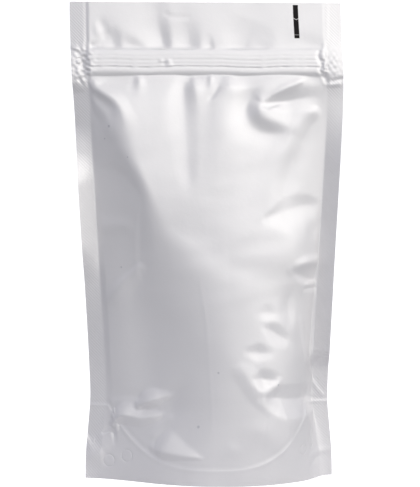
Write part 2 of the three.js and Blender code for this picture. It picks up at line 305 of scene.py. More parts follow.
# Dents of the header, above the zip
HEADER_FOLDS = (
    Fold((-53.5, 219.5, 0.1, 2), (-52.5, 216.5, 0.25, 2.2), (-51, 213, 0.1, 2), soft=0.2),
    Fold((-50.5, 220, -0.2, 2.2), (-49, 216, -0.3, 2.5), (-49.5, 212, -0.2, 2.2), soft=0.2),
    Fold((-56.5, 209.5, -0.4, 2), (-54, 208.6, -0.6, 2.2), (-51.5, 209.5, -0.3, 2), soft=0.2),
    Fold((-48.4, 217, -0.3, 6), (-46.4, 213.3, -0.9, 6), (-44.2, 208.4, -1.0, 4.5), lean=-0.3, soft=0.3),
    Fold((-41.6, 212.3, -0.2, 3.5), (-36.9, 209.5, -0.6, 3.5), (-33, 207.6, -0.7, 3.5), soft=0.25),
    Fold(
        (-26, 230, -0.5, 9), (-24.6, 223, -0.8, 8), (-23.2, 217.2, -1.3, 6.5), (-21.9, 212.2, -1.6, 5.8),
        (-20.6, 207, -1.3, 4.5),
        lean=-0.35, soft=0.35,
    ),
    Fold((-11.2, 221, -0.3, 7), (-9.6, 214, -0.9, 6.5), (-8.2, 207, -1.1, 5), lean=-0.25, soft=0.4),
    Fold((1.2, 212, -0.2, 2.5), (1.8, 208, -0.6, 2.5), lean=-0.3, soft=0.2),
    Fold((22, 222, -0.3, 9), (19, 214, -0.9, 8), (16.8, 207, -1.1, 5.5), lean=-0.2, soft=0.4),
    Fold((28.5, 211.5, -0.3, 4.5), (26.5, 207.8, -0.6, 3.5), lean=-0.2, soft=0.4),
    Fold((39.5, 211.3, -0.3, 5), (47, 210.4, -0.4, 4.5), (54, 208.5, -0.3, 3.5), soft=0.4),
    Fold((-19.8, 224.5, -0.2, 1.2), (-17, 223.3, -0.25, 1.2), (-8.5, 222.8, -0.1, 1.2), soft=0.1),
)
# Creases in the welds, where the two films are one
WELD_FOLDS = (
    Fold((-57.8, 230, -0.25, 1.0), (-57.4, 208, -0.3, 1.0), soft=0.3),
    Fold((57.2, 230, 0.2, 1.0), (57.4, 213, 0.2, 1.0), soft=0.3),
    Fold(
        (-56.4, 22.6, -0.5, 1.2), (-53.8, 24.2, -0.9, 1.4), (-51.6, 24, -0.9, 1.4),
        (-50.5, 21.5, -0.7, 1.3), (-49.7, 17.8, -0.2, 1.1),
        soft=0.12,
    ),
    Fold((-66, 10.5, 2.0, 7.5), (-60, 12, 2.0, 7.5), (-56, 15, 0.7, 5), lean=0.3, soft=0.25),
    Fold(
        (52.4, 58.5, 0.5, 1.8), (55, 54, 0.45, 1.4), (57.6, 48.5, 0.4, 1.3), (63.5, 40.5, 0.3, 1.2),
        soft=0.15,
    ),
    Fold(
        (52.2, 8.1, 0.1, 1.6), (54.3, 11.8, 0.2, 1.8), (58.7, 12.6, 0.3, 2.2), (64.8, 13.4, 0.2, 2),
        soft=0.2,
    ),
    Fold((55.3, 8.2, -0.15, 1.4), (58.6, 10.5, -0.15, 1.4), soft=0.2),
)
FRONT_FOLDS = SHOULDER_FOLDS + PINCH_FOLDS + SIDE_FOLDS + CRESCENT_FOLDS + BASE_FOLDS + LEFT_FOLDS
# Folds of the back film, placed as if they were seen through the front
BACK_FOLDS = (
    Fold((58, 192, 0.6, 3), (49, 186.5, 1.4, 4), (42, 180, 1.5, 5), (38, 170, 0.6, 7), soft=0.1),
    Fold((-58, 190, 0.8, 4), (-45, 174, 1.2, 6), (-36, 150, 0.8, 8), (-33, 130, 0.3, 7), soft=0.3),
    Fold((12, 194, -1.2, 3), (10, 184, -2.1, 5), (10, 168, -1.2, 7), (12, 150, -0.2, 8), soft=0.5),
    Fold((-9, 195, 1.3, 3.5), (-11, 186, 1.6, 6), (-10, 168, 0.8, 9), (-7, 150, 0.1, 10), soft=0.5),
    Fold(
        (-24, 193, -1.0, 6), (-20.5, 184, -2.4, 8), (-23, 174, -2.4, 8), (-33, 169, -1.0, 6),
        lean=0.25, soft=0.12,
    ),
    Fold((-29, 184, 0.6, 2.5), (-42, 186, 1.3, 4), (-57, 184, 1.4, 4), soft=0.15),
    Fold((-59, 121, -1.4, 6), (-48, 118.5, -2.0, 7), (-36, 122, -1.0, 5), (-30, 126, -0.2, 4), soft=0.12),
    Fold((59, 112, -1.3, 4), (53, 108, -1.8, 4.5), (45, 106, -0.8, 4), lean=-0.2, soft=0.12),
    Fold((59, 139, -1.2, 3.5), (50, 136, -1.0, 4), (44, 131, -0.2, 4)),
    Fold((-44, 80, -0.3, 3.5), (-36, 77.5, -1.4, 4.5), (-27, 78, -0.3, 3.5), soft=0.12),
    Fold((-34, 64, -0.3, 3), (-27, 62, -1.2, 4), (-19, 63, -0.3, 3), soft=0.12),
    Fold((27, 70, -0.3, 3), (34, 67.5, -1.2, 4), (43, 69, -0.3, 3), soft=0.12),
    Fold((30, 90, -0.2, 3), (38, 91, -0.9, 4), (46, 88, -0.2, 3), soft=0.15),
    Fold((-58.5, 40, -1.6, 5), (-46, 39, -2.1, 6), (-34, 40.5, -1.6, 5), (-26, 42, -0.5, 3), soft=0.1),
    Fold((24, 35, 0.2, 4), (33, 32, 1.2, 6), (43, 31.5, 1.2, 6), (51, 28.5, 0.4, 4), soft=0.1),
    Fold((-24, 14, 0.2, 4), (-12, 15.5, 1.5, 7), (0, 15, 1.5, 7), (10, 14, 0.2, 4), lean=0.35, soft=0.08),
    Fold((-18, 72, 0.2, 5), (-21, 56, 0.9, 5.5), (-26, 42, 1.0, 5.5), (-32, 33, 0.2, 5)),
)
# Creases at the zip's ends, where they are crushed into the side welds, and at a dent in the zip
CRUSH_FOLDS = (
    Fold(
        (-61, 206.5, -0.4, 1.6), (-60, 202.8, -0.8, 1.9), (-59.4, 199, -0.9, 2), (-58.2, 194, -0.5, 1.5),
        soft=0.1,
    ),
    Fold((-64.8, 208.6, 0.4, 1.1), (-61.3, 207.2, 0.6, 1.1), soft=0.06),
    Fold((-61.4, 193.4, -0.5, 1.1), (-59.4, 190.4, -0.3, 1.1), soft=0.06),
    Fold(
        (53.6, 206.4, -0.4, 1.2), (53.3, 204, -0.6, 1.4), (54.9, 200.5, -0.8, 1.5),
        (54.2, 197.5, -0.7, 1.4), (56.3, 194.8, -0.8, 1.5), (57.4, 192.2, -0.5, 1.3),
        soft=0.1,
    ),
    Fold((60.3, 192.5, -0.5, 1.2), (65, 193.4, -0.6, 1.2), soft=0.06),
    Fold((58.5, 190.4, 0.5, 1.2), (63.5, 190.8, 0.5, 1.2), soft=0.06),
    Fold((-21.8, 202.2, 0.3, 1.3), (-20.4, 200.9, -0.3, 1.2), (-18.8, 199.9, 0.3, 1.2), soft=0.1),
    Fold((-18.2, 202, 0.35, 1.3), (-17.2, 200, 0.3, 1.2), soft=0.1),
)
# Where the crushed ends crumple, as (across, height, half width, half height, depth)
CRUMPLES = (
    (-60.0, 200.0, 4.6, 8.5, 0.34),
    (-57.2, 199.5, 1.6, 6.5, 0.30),
    (60.8, 199.0, 4.6, 7.5, 0.15),
    (56.0, 199.0, 1.6, 7.0, 0.35),
)
CRUMPLE_PITCH = 2.4  # size of a crumple's facets
CRUMPLE_SEED = 40
# How far the zip's crushed ends stand out
CRUSH_LOBES = (
    Fold((60, 206.5, 0.4, 5), (60, 200, 0.8, 5), (60.5, 194, 0.6, 4.5), soft=0.5),
    Fold((-60, 206, 0.2, 5), (-60, 200, 0.3, 5), (-60.5, 194, 0.2, 4.5), soft=0.5),
)
# Grooves between the ribs of the zip, as (height, depth, half width)
ZIP_GROOVES = (
    (204.6, 0.06, 0.50),
    (202.5, 0.08, 0.42),
    (200.6, 0.06, 0.42),
    (199.0, 0.20, 0.50),
)
# Stretches below the zip where its foot holds the belly back, as (across, half width)
FOOT_HOLDS = ((-46, 12), (-8, 7), (17, 11), (52, 6))
# How the side welds slope to the front, as (slope, and the heights where it starts, is full, fades, ends)
RIGHT_SLOPES = ((0.52, 54, 63, 150, 190),)
LEFT_SLOPES = ((-0.30, 2, 14, 60, 115), (0.7, 94, 114, 142, 160), (-0.30, 158, 172, 186, 192))
EDGE_SWAY = 0.7  # how far the side edges wave forwards and back
SWAY_PITCH = 26.0  # height of one radian of that wave
# How clear the ledge of the base panel's weld is, as (across, share)
WELD_CLEAR = (
    (-56, 0.8), (-45, 1.1), (-20, 1.0), (0, 0.5), (14, 0.2), (22, 0.9),
    (34, 0.9), (40, 0.3), (44, 0.5), (48, 1.0), (58, 0.8),
)
# Rings that weld the corners of the base together, as (across, height, half width, half height)
SPOT_WELDS = (
    (-53.1, 9.2, 2.9, 2.9),
    (-43.5, 12.2, 2.9, 2.9),
    (47.1, 16.2, 2.3, 2.5),
    (53.7, 20.8, 1.3, 4.6),
)

# Small specks in the front film, as (across, height, radius)
SPECKS = (
    (-46.8, 171.1, 0.6),
    (-49.7, 165.1, 0.35),
    (-37.4, 156.7, 0.35),
    (-45.3, 103.4, 0.4),
    (-7.0, 28.6, 0.65),
    (2.1, 54.8, 0.5),
    (31.3, 48.5, 0.5),
)
# The printed register bar on the front film: its sides and ends, its lean about a height, and its scuffs
MARK_SIDES = (42.2, 44.65)
MARK_ENDS = (212.9, 229.0)
MARK_MIDDLE = 221.0
MARK_LEAN = 0.028
MARK_SCUFFS = ((222.2, 222.5), (214.5, 214.65))
# The fine diagonal hatching of the side welds: its height, and its slant across for each millimetre up
HATCH_HEIGHT = 0.018
HATCH_SLANT = 0.95
# Fine heights of the film's grain, of the curved weld's ledge and of the spot welds' rings
GRAIN_HEIGHT = 0.03
LEDGE_HEIGHT = 0.04
RING_DEPTH = 0.12
MOTTLE = 0.1  # how much the film's roughness varies from place to place

# The studio's soft lights, as (name, size, degrees right of the front, degrees up, distance), in metres
LIGHTS = (
    ("key", 0.8, 20, 38, 0.9),
    ("right", 0.8, 60, 45, 0.9),
    ("top", 2.0, 0, 89, 1.4),
    ("front", 1.2, 5, 15, 1.7),
    ("side", 1.2, 55, 12, 1.7),
    ("back", 0.8, 205, 35, 1.0),
)
LIGHTS_AIM = Vector((0.0, 0.0, 0.12))
LIGHTS_COLOUR = (1.0, 0.978, 0.908)
SKY_COLOUR = (0.862, 0.872, 0.99, 1.0)
FLOOR_HALF = 40.0  # half the floor's side, in metres


def length_property(name, description, millimetres):
    """A size that the user can change, kept in metres."""
    return bpy.props.FloatProperty(
        name=name,
        description=description,
        default=millimetres * MM,
        precision=5,
        unit="LENGTH",
        subtype="DISTANCE",
    )


def angle_property(name, description, radians):
    """An angle that the user can change."""
    return bpy.props.FloatProperty(
        name=name, description=description, default=radians, unit="ROTATION", subtype="ANGLE"
    )


def number_property(name, description, value):
    """A plain number that the user can change."""
    return bpy.props.FloatProperty(name=name, description=description, default=value, min=0.0)


def colour_property(name, description, value):
    """A colour that the user can change, in linear red, green and blue."""
    return bpy.props.FloatVectorProperty(
        name=name, description=description, default=value, size=3, min=0.0, max=1.0, subtype="COLOR"
    )


class PouchFilm(bpy.types.PropertyGroup):
    """Sizes of the film, its welds and the filled form."""

    width: length_property("Film width", "Flat width from side edge to side edge", 130)
    height: length_property("Height", "Standing height", CAD_HIGH.z / MM)
    side_seal: length_property("Side seal", "Width of the weld down each side", 7.6)
    seal_thickness: length_property("Seal thickness", "Both films where they are welded", 0.4)
    header_thickness: length_property("Header thickness", "Both films above the zip", 1.2)
    wall: length_property("Wall", "Thickness of the film at the mouth and the skirt", 0.18)
    zip_foot: length_property("Zip foot", "Height of the zip strip's lower edge", 195.6)
    zip_top: length_property("Zip top", "Height of the zip strip's upper edge", 207)
    zip_thickness: length_property("Zip thickness", "Both halves of the zip and the films over them", 3.1)
    fullest_height: length_property("Fullest height", "Where the belly is deepest", 42)
    shoulder_height: length_property("Shoulder height", "Where the belly ends, at the zip's foot", 195.5)
    full_angle: angle_property("Full angle", "Heading at the side seals, where the film is fullest", 0.915)
    shoulder_power: number_property("Shoulder power", "Higher values keep the belly full further up", 1.2)
    shoulder_root: number_property("Shoulder root", "Lower values end the belly more bluntly", 0.62)
    floor_angle: angle_property("Floor angle", "The steepest heading of the bottom edge", 0.54)
    floor_fullness: number_property("Floor fullness", "Higher values blunt the bottom edge's middle", 1.25)
    skirt_height: length_property("Skirt height", "From the floor to the curved weld, in the middle", 8)
    gusset_fold: length_property("Gusset fold", "Height of the base panel's fold at the side seals", 37)
    gusset_skew: length_property("Gusset skew", "How much higher that fold is at the right edge", 2.4)
    weld_left: length_property("Weld left", "Where the curved weld meets that height on the left", 56)
    weld_right: length_property("Weld right", "Where the curved weld meets that height on the right", 51)
    weld_power: number_property("Weld power", "Higher values flatten the middle of the curved weld", 2.7)
    base_sag: length_property("Base sag", "How far the base panel would hang through the floor", 2.5)
    tent_start: length_property("Tent start", "Where the base panel's fold leaves the floor", 18)
    tent_end: length_property("Tent end", "Where the base panel's fold has its full height", 52)
    mouth_depth: length_property("Mouth depth", "How far down from the top edge the films are apart", 18)
    header_lean: length_property("Header lean", "How far the header stands to the left of the base", 1.7)
    header_back: length_property("Header back", "How far the top edge leans back from the zip's foot", 7.0)
    lean_start: length_property("Lean start", "Height from which the header leans", 174)
    top_skew: length_property("Top skew", "Drop of the top edge from left to right", 0.7)
    corner_lift: length_property("Corner lift", "How far the base's right corner curls up", 1.6)
    curl_start: length_property("Curl start", "Where the curl starts, across the film", 48)


class PouchFinish(bpy.types.PropertyGroup):
    """Colours and gloss of the film and of its print mark."""

    film_colour: colour_property("Film colour", "White ink under the film", (0.80, 0.792, 0.798))
    mark_colour: colour_property("Mark colour", "The printed register bar", (0.010, 0.008, 0.009))
    speck_colour: colour_property("Speck colour", "Small grey specks in the film", (0.62, 0.62, 0.64))
    film_roughness: number_property("Film roughness", "Satin finish of the film", 0.46)
    film_sheen: number_property("Film sheen", "Share of the foil's own reflection under the white", 0.38)
    hatch_pitch: length_property("Hatch pitch", "Spacing of the weld's fine diagonal lines", 1.5)


class PouchStage(bpy.types.PropertyGroup):
    """Camera, lights and floor."""

    elevation: angle_property("Elevation", "Height of the camera above the horizon", math.radians(6))
    distance: length_property("Distance", "From the camera to the middle of the pouch", 1500)
    aim_right: length_property("Aim right", "The camera looks this far to the right of the middle", 1.5)
    aim_height: length_property("Aim height", "Height that the camera looks at", 114.2)
    lens: number_property("Lens", "Focal length in millimetres, on a sensor of 36 mm", 230.6)
    floor_colour: colour_property("Floor colour", "Pale floor round the pouch", (0.65, 0.65, 0.67))
    far_colour: colour_property("Far colour", "The same floor further away", (0.36, 0.365, 0.375))
    key_power: number_property("Key power", "Soft light from the upper front, in watts", 2.05)
    right_power: number_property("Right power", "Soft light from the upper right, in watts", 1.2)
    top_power: number_property("Top power", "Wide light from above, in watts", 3.6)
    front_power: number_property("Front power", "Wide light from behind the camera, in watts", 2.3)
    side_power: number_property("Side power", "Wide light from the right, in watts", 6.3)
    back_power: number_property("Back power", "Soft light from behind, in watts", 1.2)
    sky_strength: number_property("Sky strength", "Light from all round", 0.54)


def in_millimetres(group):
    """The group's values by name, with its lengths in millimetres."""
    values = {}
    for name, rule in group.bl_rna.properties.items():
        if rule.type == "FLOAT" and not rule.is_array:
            scale = MM if rule.unit == "LENGTH" else 1.0
            values[name] = getattr(group, name) / scale
    return SimpleNamespace(**values)


def smooth(low, high, value):
    """0 below low, 1 above high, and 3t^2 - 2t^3 between them."""
    t = np.clip((value - low) / (high - low), 0.0, 1.0)
    return t * t * (3.0 - 2.0 * t)


def plateau(value, start, full, fading, end):
    """0 up to start, 1 from full to fading and 0 again from end, with smooth steps between them."""
    return smooth(start, full, value) * (1.0 - smooth(fading, end, value))


def bell(value, middle, half_width):
    """1 in the middle, falling off as exp(-u^2)."""
    return np.exp(-(((value - middle) / half_width) ** 2))


def divided(bands):
    """Places along a line, from bands of (from, to, steps)."""
    parts = [np.linspace(low, high, steps, endpoint=False) for low, high, steps in bands]
    return np.append(np.concatenate(parts), bands[-1][1])


def ripple(across, height, pitch, seed):
    """Smooth noise of about -1 to 1: plane waves near one pitch, with seeded headings and phases."""
    draw = np.random.default_rng(seed)
    total = np.zeros(np.broadcast(across, height).shape)
    waves = 14
    for _ in range(waves):
        turn, phase = draw.uniform(0.0, 2.0 * math.pi, 2)
        number = 2.0 * math.pi * draw.uniform(0.7, 1.4) / pitch
        total += np.cos(number * (across * math.cos(turn) + height * math.sin(turn)) + phase)
    return total / math.sqrt(waves)


def crumple(across, height, pitch, seed):
    """Crushed foil of about -1 to 1: triangle waves with seeded headings, which leave flat facets."""
    draw = np.random.default_rng(seed)
    total = np.zeros(np.broadcast(across, height).shape)
    waves = 5
    for turn in math.pi * (np.arange(waves) + draw.uniform(0.0, 1.0, waves)) / waves:
        phase = draw.uniform(0.0, 1.0)
        number = draw.uniform(0.7, 1.3) / pitch
        along = number * (across * math.cos(turn) + height * math.sin(turn)) + phase
        total += 4.0 * np.abs(along - np.floor(along) - 0.5) - 1.0
    return total / math.sqrt(waves)


def crushed_ends(across, height):
    """How far the crumples at the zip's ends move the film."""
    total = np.zeros(across.shape)
    for seed, (middle, level, wide, high, depth) in enumerate(CRUMPLES, CRUMPLE_SEED):
        share = bell(across, middle, wide) * bell(height, level, high)
        total += depth * share * crumple(across, height, CRUMPLE_PITCH, seed)
    return total


def drawn(path):
    """Points along a smooth curve through a path's points: a Catmull-Rom spline, in eight steps a span."""
    points = np.array(path, dtype=float)
    before = 2.0 * points[0] - points[1]
    after = 2.0 * points[-1] - points[-2]
    points = np.vstack([before, points, after])
    t = np.linspace(0.0, 1.0, 8, endpoint=False)[:, None]
    spans = []
    for a, b, c, d in zip(points, points[1:], points[2:], points[3:]):
        bend = (2.0 * a - 5.0 * b + 4.0 * c - d) * t**2 + (3.0 * b - a - 3.0 * c + d) * t**3
        spans.append(b + 0.5 * ((c - a) * t + bend))
    return np.vstack([*spans, points[-2:-1]])


def stroke(fold, across, height):
    """How far one fold lifts the film.

    That is depth * foot(1 - u), u being the distance to the stroke over its flank's reach. foot is flat
    below 0 and straight above it with a rounded corner, so that each flank is even, as in creased foil.
    The corner is rounder on a soft fold and on a widened flank. Where two stretches of the stroke are near,
    the nearer one counts.
    """
    line = drawn(fold.path)
    nearest = np.full(across.shape, np.inf)
    depth, reach, wide = np.zeros((3, *across.shape))
    for start, end in zip(line, line[1:]):
        run = end[:2] - start[:2]
        east = across - start[0]
        north = height - start[1]
        t = np.clip((east * run[0] + north * run[1]) / (run @ run), 0.0, 1.0)
        away = np.hypot(east - t * run[0], north - t * run[1])
        closer = away < nearest
        left = (run[0] * north - run[1] * east) / np.hypot(*run) / np.maximum(away, 1e-6)
        nearest = np.where(closer, away, nearest)
        depth = np.where(closer, start[2] + t * (end[2] - start[2]), depth)
        skewed = fold.lean * np.clip(left, -1.0, 1.0)
        reach = np.where(closer, (start[3] + t * (end[3] - start[3])) * (1.0 + skewed), reach)
        wide = np.where(closer, np.maximum(skewed, 0.0), wide)
    u = np.hypot(nearest / reach, fold.soft) - fold.soft
    rounding = 0.02 + 0.4 * fold.soft + 0.08 * wide
    return depth * rounding * np.logaddexp(0.0, (1.0 - u) / rounding)


def strokes(folds, across, height):
    """The sum of several folds, each worked out only near its path."""
    total = np.zeros(across.shape)
    for fold in folds:
        path = np.array(fold.path)
        reach = 3.0 * path[:, 3].max()
        low = path[:, :2].min(axis=0) - reach
        high = path[:, :2].max(axis=0) + reach
        columns = np.flatnonzero((across.max(axis=0) > low[0]) & (across.min(axis=0) < high[0]))
        rows = np.flatnonzero((height[:, 0] > low[1]) & (height[:, 0] < high[1]))
        near = np.ix_(rows, columns)
        total[near] += stroke(fold, across[near], height[near])
    return total


def crest_line(crests, height):
    """The crest's place, half width and share at each height: straight between stations, then averaged."""
    table = np.array(crests)
    reach = np.linspace(-3.0, 3.0, 13)
    spread = height[..., None] + reach
    return [np.interp(spread, table[:, 0], table[:, k]).mean(axis=-1) for k in (1, 2, 3)]


def seal_edge(film):
    """Where the side seals start, on both sides of the centre line."""
    return film.width / 2 - film.side_seal


def middles(across):
    """The middles of the steps between the columns."""
    return (across[:, 1:] + across[:, :-1]) / 2


def leaving_angle(film, height):
    """An even bend's heading at the side seals: full up to the fullest height, and none at the shoulder."""
    climb = (height - film.fullest_height) / (film.shoulder_height - film.fullest_height)
    climb = np.clip(climb, 0.0, 1.0)
    return film.full_angle * (1.0 - climb**film.shoulder_power) ** film.shoulder_root


def belly_heading(film, crests, side, across, height):
    """The filled film's heading in plan at the middles of the columns.

    The film turns partly at the crest and partly over a broad stretch. The section is turned to bring both
    seals level, and the turn is scaled so that the section is as full as an even bend to the side seals
    would be. How full it is, is the eighth root of the mean of its depth to the eighth power: near its
    greatest depth, but without a jump where that moves from one bulge to another. The heading ends at the
    side seals, softly near the base and sharply higher up.
    """
    inner = seal_edge(film)
    leaving = np.maximum(leaving_angle(film, height), 1e-4)
    wanted = EVEN_FULLNESS * inner * (1.0 - np.cos(leaving)) / leaving
    middle = middles(across)
    step = np.diff(across, axis=1) * (np.abs(middle) < inner)
    place, half, share = crest_line(crests, height)
    broad = np.sort(np.multiply(BROAD_TURN, -side))
    turn = share * smooth(place - half, place + half, middle)
    turn = turn + (1.0 - share) * smooth(broad[0], broad[1], middle)
    size = 2.0 * leaving
    for _ in range(4):
        angle = size * turn
        level = np.arctan2((step * np.sin(angle)).sum(1), (step * np.cos(angle)).sum(1))
        angle = angle - level[:, None]
        depth = np.maximum(np.cumsum(-step * np.sin(angle), axis=1), 0.0)
        reached = ((step * depth**8).sum(axis=1) / step.sum(axis=1)) ** 0.125
        size = size * (wanted[:, :1] / np.maximum(reached, 1e-6)[:, None])
    blend = 0.5 + 6.5 * (1.0 - smooth(10.0, film.gusset_fold, height))
    return angle * (1.0 - smooth(inner - blend, inner + blend, np.abs(middle)))


def even_heading(film, across, height):
    """The heading of an evenly bent film, which sets how far the side seals are drawn in."""
    inner = seal_edge(film)
    middle = middles(across)
    return np.where(np.abs(middle) < inner, leaving_angle(film, height) * middle / inner, 0.0)


def floor_heading(film, across):
    """The heading of the bottom edge: a sine from the middle to the corners, blunted by a root."""
    middle = middles(across)
    share = np.abs(middle) / (film.width / 2)
    return np.sign(middle) * film.floor_angle * np.sin(math.pi * share**film.floor_fullness) ** 0.6


def added_up(across, angle):
    """x and depth of a film whose heading is given: the sums of its steps' cosines and of their sines."""
    step = np.diff(across, axis=1)
    start = np.zeros((len(across), 1))
    x = np.hstack([start, np.cumsum(step * np.cos(angle), axis=1)])
    depth = np.hstack([start, np.cumsum(-step * np.sin(angle), axis=1)])
    return x - x[:, -1:] / 2, depth


def bare_film(film, side, across, height):
    """x and depth of a film before its folds. Every level is bent in plan without being stretched."""
    crests = FRONT_CREST if side == FRONT else BACK_CREST
    rise = smooth(0.0, film.fullest_height, height[:, :1])
    floor = floor_heading(film, across)
    even = floor + rise * (even_heading(film, across, height[:, :1]) - floor)
    turned = floor + rise * (belly_heading(film, crests, side, across, height[:, :1]) - floor)
    even_x, _ = added_up(across, even)
    x, depth = added_up(across, turned)
    x = x * (even_x[:, -1:] / x[:, -1:])
    share = (x - x[:, :1]) / (x[:, -1:] - x[:, :1])
    return x, np.maximum(depth - share * depth[:, -1:], 0.0)


def header_depth(film, across, height):
    """How far the header and the ribbed zip stand out past the side seals' face."""
    inner = seal_edge(film)
    inside = 1.0 - smooth(inner - 1.4, inner + 0.4, np.abs(across))
    wander = height + 0.2 * ripple(across, 0.0 * height, 34.0, 11) + 0.05 * ripple(across, height, 9.0, 13)
    strip = plateau(wander, film.zip_foot - 2.0, film.zip_foot + 2.0, film.zip_top - 2.4, film.zip_top + 2.4)
    uneven = 1.0 + 0.5 * ripple(across, 0.0 * height, 5.0, 12)
    ribs = uneven * sum(depth * bell(wander, place, half) for place, depth, half in ZIP_GROOVES)
    header = smooth(film.zip_foot - 1.5, film.zip_foot + 0.9, height)
    thick = strip * ((film.zip_thickness - film.header_thickness) / 2 - ribs)
    return inside * (header * (film.header_thickness - film.seal_thickness) / 2 + thick)


def foot_hold(film, across, height):
    """How much of the belly is held back below the zip's foot: most on some stretches, little elsewhere."""
    held = np.minimum(1.0, sum(bell(across, middle, half) for middle, half in FOOT_HOLDS))
    return (0.05 + 0.6 * held) * (1.0 - smooth(0.5, 6.5, film.zip_foot - height))


def weld_height(film, across):
    """Height of the curved weld that joins the base panel to the film."""
    reach = np.where(across > 0.0, film.weld_right, film.weld_left)
    rise = np.minimum(1.0, (np.abs(across) / reach) ** film.weld_power)
    fold = film.gusset_fold + film.gusset_skew * across / film.width
    return film.skirt_height + (fold - film.skirt_height) * rise


def weld_relief(film, across, height):
    """The ledge along the curved weld and the base panel's fold, and the rings of the spot welds."""
    weld = weld_height(film, across)
    slope = np.gradient(weld, axis=1) / np.gradient(across, axis=1)
    away = (height - weld) / np.hypot(1.0, slope)
    clear = np.interp(across, *zip(*WELD_CLEAR))
    ledge = 0.06 * (1.0 - smooth(-0.6, 0.7, away))
    ledge = ledge + clear * (0.2 * bell(away, -0.5, 0.8) - 0.12 * bell(away, 1.4, 1.0))
    for middle, level, wide, high in SPOT_WELDS:
        distance = np.hypot((across - middle) / wide, (height - level) / high)
        ledge = ledge - 0.15 * bell(distance, 1.0, 0.22)
    return ledge


def leant(film, height):
    """How far to the right each height stands, as the header leans to the left."""
    return film.header_lean * (0.5 - smooth(film.lean_start, film.height, height))


def together(film, across, height, depth):
    """How far both films move forwards as one: creases of the welds, the header and the zip's ends."""
    inner = seal_edge(film)
    seen = across + leant(film, height)
    header = smooth(film.zip_top, film.zip_top + 1.5, height)
    header = header * (1.0 - smooth(inner - 3.0, inner, np.abs(across)))
    welded = 1.0 - smooth(1.5, 6.0, depth) * smooth(film.gusset_fold - 2.0, film.gusset_fold + 4.0, height)
    creases = header * strokes(HEADER_FOLDS, seen, height) + welded * strokes(WELD_FOLDS, seen, height)
    return creases + strokes(CRUSH_FOLDS, seen, height) + crushed_ends(across, height)


def relief(film, side, across, height, depth):
    """How far the film stands out from its bare form, along its normal."""
    seen = across + leant(film, height)
    flutter = 0.08 * ripple(across, height, 30.0, 5 - side) + 0.025 * ripple(across, height, 12.0, 8 - side)
    folds = strokes(FRONT_FOLDS if side == FRONT else BACK_FOLDS, seen, height) + flutter
    pressed = folds * np.where(folds > 0.0, smooth(0.0, 1.6, depth), smooth(0.0, 4.0, depth))
    pressed += strokes(CRUSH_LOBES, seen, height) + weld_relief(film, across, height)
    return pressed - side * together(film, across, height, depth)


def seal_slope(slopes, height):
    """How steeply a side weld slopes towards the front at each height."""
    return sum(slope * plateau(height, *levels) for slope, *levels in slopes)


def seal_turn(film, across, height):
    """How far the side welds are bent forwards.

    Each slopes from its inner edge, by height. Low down on the right, the fold leaves that edge: it runs
    into the film and then out to the corner of the base panel's fold.
    """
    inner = seal_edge(film)
    levels = [film.gusset_fold + 2.0, 57.0, 75.0, 125.0]
    hinge = np.interp(height, levels, [film.width / 2, 53.0, 54.4, inner])
    past = np.maximum(np.where(across > 0.0, across - hinge, -across - inner), 0.0)
    right = seal_slope(RIGHT_SLOPES, height) + 0.2 * bell(height, 80.0, 24.0)
    left = seal_slope(LEFT_SLOPES, height)
    header = 0.14 * smooth(202.0, 210.0, height)
    return past * (np.where(across > 0.0, right, left) - header)


def film_points(film, side, across, height):
    """The outer face of the front or back film as an array of points.

    The bare form is moved along its own normal by the relief. The header leans, the top edge drops to the
    right, a corner of the base curls up and the side seals sway a little.
    """
    x, depth = bare_film(film, side, across, height)
    depth = depth * (1.0 - foot_hold(film, across, height))
    zipped = header_depth(film, across, height)
    round_off = bell(height, film.zip_foot, 5.0) * np.minimum(depth, 1.5)
    out = film.seal_thickness / 2 + (depth + zipped + np.hypot(depth - zipped, round_off)) / 2
    bare = np.stack([x, side * out, height], axis=-1)
    normal = np.cross(np.gradient(bare, axis=1), np.gradient(bare, axis=0)) * -side
    normal = normal / np.linalg.norm(normal, axis=-1, keepdims=True)
    points = bare + relief(film, side, across, height, depth)[..., None] * normal
    floor_hold = smooth(0.0, 1.5, height)
    points[..., 2] = height + (points[..., 2] - height) * floor_hold
    half = film.width / 2
    skew = film.top_skew / 2 * (1.0 + across / half) * smooth(film.zip_foot, film.height, height)
    curl = smooth(film.curl_start, half, across) * (1.0 - smooth(0.0, film.gusset_fold, height))
    edge = smooth(half - 22.0, half, np.abs(across)) * plateau(height, 20.0, 60.0, 180.0, 200.0)
    sway = EDGE_SWAY * edge * np.sin(height / SWAY_PITCH + 1.3 * np.sign(across))
    back = np.maximum(height - film.zip_foot, 0.0) / (film.height - film.zip_foot)
    points[..., 0] += leant(film, height)
    points[..., 1] += sway - seal_turn(film, across, height) + film.header_back * back
    points[..., 2] += film.corner_lift * curl - skew
    return points


def row_at(points, rows, heights):
    """A row of points across a film's grid, each column's at its own height, straight between grid rows."""
    above = np.clip(np.searchsorted(rows, heights), 1, len(rows) - 1)
    share = ((heights - rows[above - 1]) / (rows[above] - rows[above - 1]))[:, None]
    columns = np.arange(points.shape[1])
    return points[above - 1, columns] * (1.0 - share) + points[above, columns] * share


def mouth_rows(film, side, points, rows, open_share):
    """The inner face of one film at the mouth, from its top edge down."""
    inside = []
    for share in MOUTH_SHARES:
        row = row_at(points, rows, film.height - share * film.mouth_depth * open_share)
        row[:, 1] -= side * film.wall * open_share
        inside.append(row)
    return np.array(inside)


